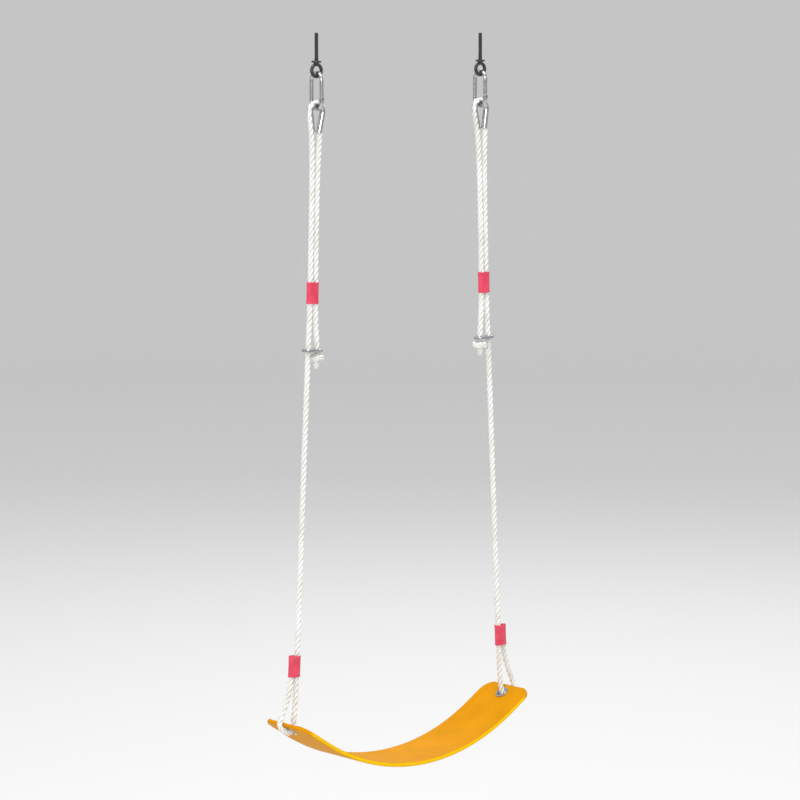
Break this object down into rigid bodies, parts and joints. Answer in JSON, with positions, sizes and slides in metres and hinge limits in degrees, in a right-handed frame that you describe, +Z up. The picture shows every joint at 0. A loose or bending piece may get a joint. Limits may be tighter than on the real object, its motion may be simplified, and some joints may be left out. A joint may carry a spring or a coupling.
{
  "type": "belt swing seat",
  "caption": "Flexible belt swing seat hanging in a U from two ropes, each hooked by a sprung snap hook to an eye under the beam.",
  "frame": {"origin": "underside of the beam, midway between the two screw eyes' shanks", "axes": "+Z up along the shanks, +X along the beam from the left eye to the right eye, the seat swings along Y"},
  "size_m": [0.6412, 0.14, 1.4914],
  "materials": {
    "hanger_black": "black coated steel, satin",
    "zinc_steel": "bright zinc-plated steel",
    "white_rope": "laid or braided polypropylene rope, off-white",
    "red_sleeve": "soft red plastic, slightly glossy",
    "yellow_belt": "moulded yellow-orange flexible plastic, satin, fine grain"
  },
  "bodies": {
    "hangers": {"left_eye_bolt": "hanger_black", "right_eye_bolt": "hanger_black"},
    "snap_hooks": {"left_snap_hook": "zinc_steel", "right_snap_hook": "zinc_steel", "left_gate_pin": "zinc_steel", "right_gate_pin": "zinc_steel"},
    "left_gate": {"left_gate": "zinc_steel", "left_gate_spring": "zinc_steel"},
    "right_gate": {"right_gate": "zinc_steel", "right_gate_spring": "zinc_steel"},
    "ropes": {"left_rope": "white_rope", "right_rope": "white_rope", "left_thimble": "zinc_steel", "right_thimble": "zinc_steel", "left_upper_sleeve": "red_sleeve", "right_upper_sleeve": "red_sleeve", "left_adjuster": "zinc_steel", "right_adjuster": "zinc_steel", "left_stop_knot": "white_rope", "right_stop_knot": "white_rope", "left_lower_sleeve": "red_sleeve", "right_lower_sleeve": "red_sleeve"},
    "seat": {"belt": "yellow_belt", "left_eyelet": "zinc_steel", "right_eyelet": "zinc_steel", "left_eyelet_washer": "zinc_steel", "right_eyelet_washer": "zinc_steel"}
  },
  "joints": [
    {"name": "swing_pivot", "type": "hinge", "parent": "hangers", "child": "snap_hooks", "pos_m": [0, 0, -0.0315], "axis": [1, 0, 0], "range_deg": [-55, 55]},
    {"name": "rope_pivot", "type": "hinge", "parent": "snap_hooks", "child": "ropes", "pos_m": [0, 0, -0.0839], "axis": [1, 0, 0], "range_deg": [-25, 25]},
    {"name": "seat_tilt", "type": "hinge", "parent": "ropes", "child": "seat", "pos_m": [0, 0, -1.335], "axis": [1, 0, 0], "range_deg": [-15, 15]},
    {"name": "left_gate_swing", "type": "hinge", "parent": "snap_hooks", "child": "left_gate", "pos_m": [-0.215, -0.016, -0.0777], "axis": [-1, 0, 0], "range_deg": [0, 22], "stiffness_Nm_per_rad": 0.05, "springref_deg": -5.73},
    {"name": "right_gate_swing", "type": "hinge", "parent": "snap_hooks", "child": "right_gate", "pos_m": [0.215, -0.016, -0.0777], "axis": [-1, 0, 0], "range_deg": [0, 22], "stiffness_Nm_per_rad": 0.05, "springref_deg": -5.73}
  ]
}
